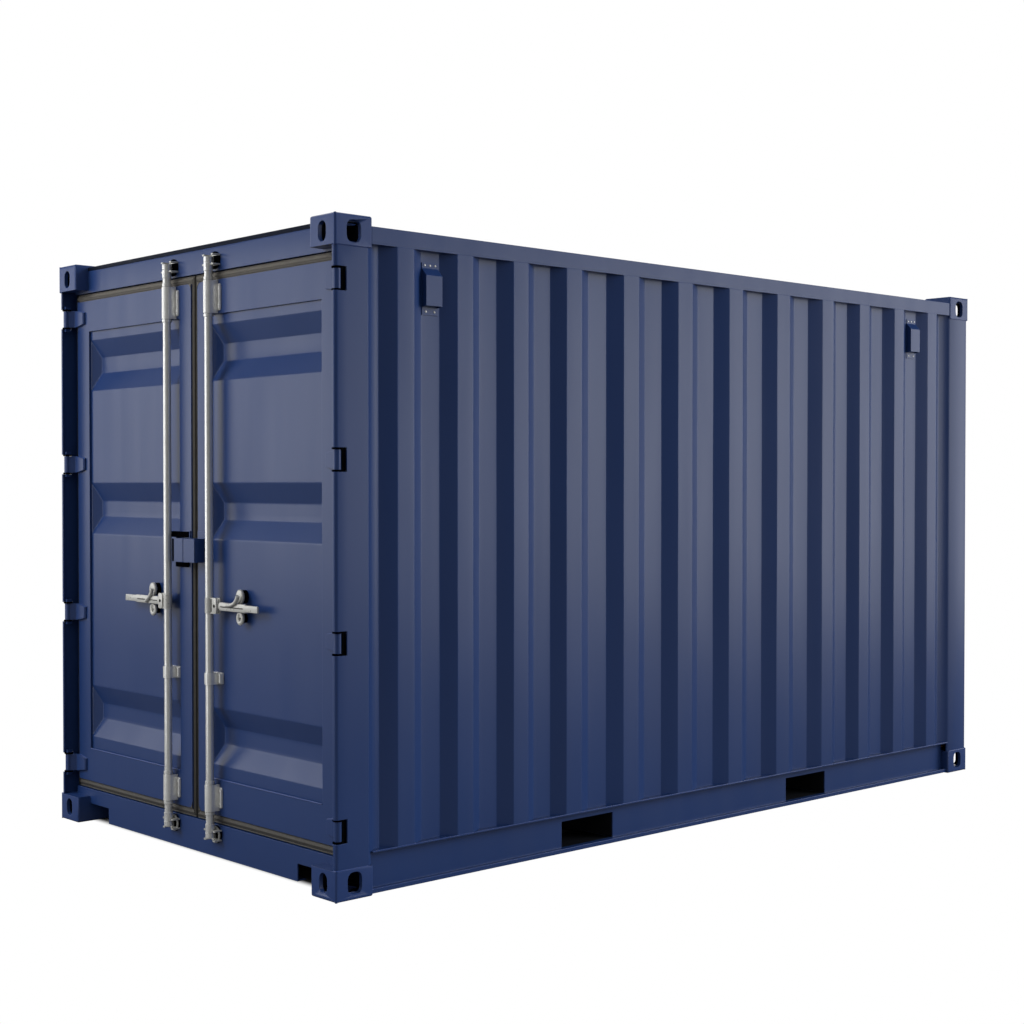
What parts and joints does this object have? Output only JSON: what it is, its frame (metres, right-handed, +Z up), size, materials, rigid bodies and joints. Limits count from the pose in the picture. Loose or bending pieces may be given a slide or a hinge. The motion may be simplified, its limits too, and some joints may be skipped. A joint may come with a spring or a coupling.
{
  "type": "shipping container",
  "caption": "Short steel storage container with corrugated walls, corner castings, fork pockets and a pair of end doors locked by cam rods.",
  "frame": {"origin": "centre of the base, on the ground under the corner castings", "axes": "+X across the width, towards the long side that the picture shows; +Y along the length, away from the doors; +Z up"},
  "size_m": [2.167, 4.3, 2.591],
  "materials": {
    "blue_paint": "satin industrial enamel",
    "galvanised_steel": "dull galvanised",
    "gasket_rubber": "matt, weathered",
    "plywood": "sealed plywood"
  },
  "bodies": {
    "container": {"castings_bottom": "blue_paint", "castings_top": "blue_paint", "door_post_right": "blue_paint", "door_post_left": "blue_paint", "rear_post_right": "blue_paint", "rear_post_left": "blue_paint", "top_side_rail_right": "blue_paint", "top_side_rail_left": "blue_paint", "bottom_side_rail_right": "blue_paint", "bottom_side_rail_left": "blue_paint", "side_wall_right": "blue_paint", "side_wall_left": "blue_paint", "rear_wall": "blue_paint", "rear_top_rail": "blue_paint", "rear_sill": "blue_paint", "door_header": "blue_paint", "door_sill": "blue_paint", "fork_pockets": "blue_paint", "cross_members": "blue_paint", "floor_boards": "plywood", "roof_panel": "blue_paint", "vents": "blue_paint", "hinge_lugs": "blue_paint", "cam_keepers": "galvanised_steel"},
    "door_right": {"door_frame_right": "blue_paint", "door_panel_right": "blue_paint", "door_gasket_right": "gasket_rubber", "hinge_blades_right": "blue_paint", "rod_guides_right": "galvanised_steel", "handle_rest_right": "galvanised_steel", "lock_box_right": "blue_paint"},
    "rod_right": {"lock_rod_right": "galvanised_steel", "lock_cams_right": "galvanised_steel", "handle_hub_right": "galvanised_steel"},
    "lever_right": {"handle_right": "galvanised_steel"},
    "door_left": {"door_frame_left": "blue_paint", "door_panel_left": "blue_paint", "door_gasket_left": "gasket_rubber", "hinge_blades_left": "blue_paint", "rod_guides_left": "galvanised_steel", "handle_rest_left": "galvanised_steel", "lock_box_left": "blue_paint"},
    "rod_left": {"lock_rod_left": "galvanised_steel", "lock_cams_left": "galvanised_steel", "handle_hub_left": "galvanised_steel"},
    "lever_left": {"handle_left": "galvanised_steel"}
  },
  "joints": [
    {"name": "right_door", "type": "hinge", "parent": "container", "child": "door_right", "pos_m": [1.0585, -2.123, 1.2955], "axis": [0, 0, 1], "range_deg": [0, 262]},
    {"name": "right_rod", "type": "hinge", "parent": "door_right", "child": "rod_right", "pos_m": [0.165, -2.12, 1.07], "axis": [0, 0, 1], "range_deg": [-110, 0]},
    {"name": "right_handle", "type": "hinge", "parent": "rod_right", "child": "lever_right", "pos_m": [0.215, -2.126, 1.07], "axis": [0, -1, 0], "range_deg": [0, 25]},
    {"name": "left_door", "type": "hinge", "parent": "container", "child": "door_left", "pos_m": [-1.0585, -2.123, 1.2955], "axis": [0, 0, -1], "range_deg": [0, 262]},
    {"name": "left_rod", "type": "hinge", "parent": "door_left", "child": "rod_left", "pos_m": [-0.165, -2.12, 1.07], "axis": [0, 0, -1], "range_deg": [-110, 0]},
    {"name": "left_handle", "type": "hinge", "parent": "rod_left", "child": "lever_left", "pos_m": [-0.215, -2.126, 1.07], "axis": [0, 1, 0], "range_deg": [0, 25]}
  ]
}
